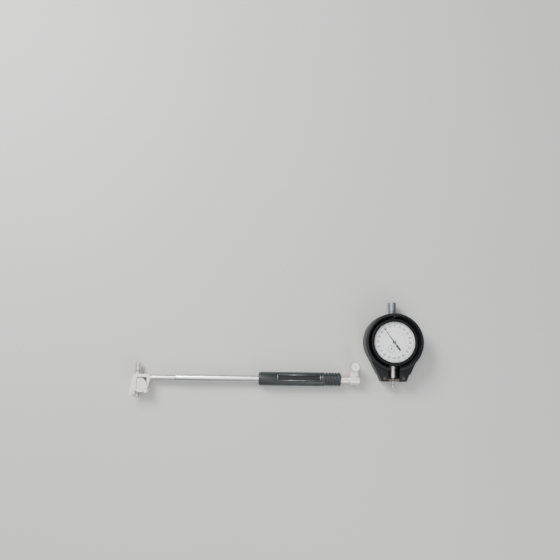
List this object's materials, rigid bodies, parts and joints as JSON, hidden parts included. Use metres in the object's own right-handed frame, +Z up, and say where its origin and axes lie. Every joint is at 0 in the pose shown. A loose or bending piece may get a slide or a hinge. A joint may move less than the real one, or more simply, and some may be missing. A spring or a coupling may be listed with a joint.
{
  "type": "dial bore gauge",
  "caption": "Bore gauge holder with sprung contact, centring guide, tube, ribbed grip and stem clamp, and its round dial indicator in a black cover lying beside it.",
  "frame": {"origin": "centre of the bounding box's bottom face, on the floor that both groups lie on", "axes": "+X along the holder's tube from the measuring head to the clamp, +Y from the sprung contact towards the anvil, +Z up, out of the dial's face"},
  "size_m": [0.3517, 0.1178, 0.029],
  "materials": {
    "satin_chrome": "satin chrome plate on steel",
    "bright_chrome": "fine-ground chrome plate",
    "hard_metal": "polished hard metal",
    "steel": "turned steel",
    "spring_wire": "drawn spring wire",
    "bush_brass": "turned brass",
    "grip_plastic": "dark slate moulded plastic, satin",
    "label_film": "black film with a silver line",
    "ring_rubber": "black rubber",
    "cover_plastic": "black moulded plastic, satin",
    "case_metal": "satin grey metal",
    "bezel_black": "black enamel",
    "dial_white": "white enamel with black print",
    "crystal_clear": "clear",
    "hand_black": "black lacquer"
  },
  "bodies": {
    "gauge": {"head_body": "satin_chrome", "contact_bush": "bush_brass", "crank_pin": "satin_chrome", "anvil": "satin_chrome", "anvil_tip": "hard_metal", "anvil_ring": "ring_rubber", "guide_pins": "satin_chrome", "guide_springs": "spring_wire", "holder_neck": "bright_chrome", "holder_tube": "bright_chrome", "spring_stop": "bush_brass", "rear_bush": "bush_brass", "push_rod_spring": "spring_wire", "grip": "grip_plastic", "grip_label": "label_film", "split_sleeve": "satin_chrome", "clamp_ring": "satin_chrome", "clamp_nut": "bright_chrome", "cover_back": "cover_plastic", "cover_front": "cover_plastic", "cover_strap": "steel", "cover_pin": "steel", "cover_screws": "steel", "indicator_case": "case_metal", "case_lid": "case_metal", "lid_screws": "steel", "stem": "case_metal", "spindle_cap": "case_metal", "spindle_spring": "spring_wire", "movement_bridge": "bush_brass", "movement_pillars": "steel", "count_plate": "dial_white"},
    "contact": {"contact_plunger": "steel", "contact_ball": "hard_metal"},
    "crank": {"bell_crank": "steel"},
    "rod": {"push_rod": "steel", "push_rod_end": "hard_metal"},
    "guide": {"centring_guide": "satin_chrome"},
    "clamp_screw": {"thumb_knob": "bright_chrome", "thumb_screw": "steel"},
    "indicator_spindle": {"spindle": "steel", "spindle_contact": "hard_metal"},
    "first_wheel": {"rack_wheel": "steel", "count_hand": "hand_black"},
    "middle_wheel": {"second_wheel": "steel"},
    "hand": {"centre_pinion": "steel", "main_hand": "hand_black"},
    "turning_bezel": {"bezel": "bezel_black", "dial_face": "dial_white", "crystal": "crystal_clear", "crystal_seal": "ring_rubber"}
  },
  "joints": [
    {"name": "contact_slide", "type": "slide", "parent": "gauge", "child": "contact", "axis": [0, 1, 0], "range_m": [0, 0.0016], "stiffness_N_per_m": 800, "springref_m": -0.003},
    {"name": "rod_slide", "type": "slide", "parent": "gauge", "child": "rod", "axis": [1, 0, 0], "range_m": [0, 0.0016], "deforming": ["push_rod_spring"]},
    {"name": "crank_turn", "type": "hinge", "parent": "gauge", "child": "crank", "pos_m": [-0.16095, -0.04125, 0.0082], "axis": [0, 0, 1], "range_deg": [-14.5, 0]},
    {"name": "guide_slide", "type": "slide", "parent": "gauge", "child": "guide", "axis": [0, 1, 0], "range_m": [0, 0.002], "stiffness_N_per_m": 600, "springref_m": -0.003, "deforming": ["guide_springs"]},
    {"name": "clamp_screw_turn", "type": "hinge", "parent": "gauge", "child": "clamp_screw", "pos_m": [0.0948, -0.01935, 0.0082], "axis": [0, 0, 1], "range_deg": [0, 360]},
    {"name": "spindle_slide", "type": "slide", "parent": "gauge", "child": "indicator_spindle", "axis": [0, 1, 0], "range_m": [0, 0.001], "stiffness_N_per_m": 300, "springref_m": -0.004, "deforming": ["spindle_spring"]},
    {"name": "first_wheel_turn", "type": "hinge", "parent": "gauge", "child": "first_wheel", "pos_m": [0.13805, 0.00255, 0.015], "axis": [0, 0, 1], "range_deg": [-24, 0]},
    {"name": "middle_wheel_turn", "type": "hinge", "parent": "gauge", "child": "middle_wheel", "pos_m": [0.13409, 0.0099, 0.015], "axis": [0, 0, 1], "range_deg": [0, 224]},
    {"name": "hand_turn", "type": "hinge", "parent": "gauge", "child": "hand", "pos_m": [0.14135, 0.01045, 0.015], "axis": [0, 0, 1], "range_deg": [-1801, 0]},
    {"name": "bezel_turn", "type": "hinge", "parent": "gauge", "child": "turning_bezel", "pos_m": [0.14135, 0.01045, 0.02], "axis": [0, 0, 1], "continuous": true}
  ],
  "couplings": [
    {"joint": "rod_slide", "follows": "contact_slide", "ratio": 1},
    {"joint": "crank_turn", "follows": "contact_slide", "rad_per_m": -156.25},
    {"joint": "first_wheel_turn", "follows": "spindle_slide", "rad_per_m": -416.67},
    {"joint": "middle_wheel_turn", "follows": "spindle_slide", "rad_per_m": 3906.2},
    {"joint": "hand_turn", "follows": "spindle_slide", "rad_per_m": -31416}
  ]
}
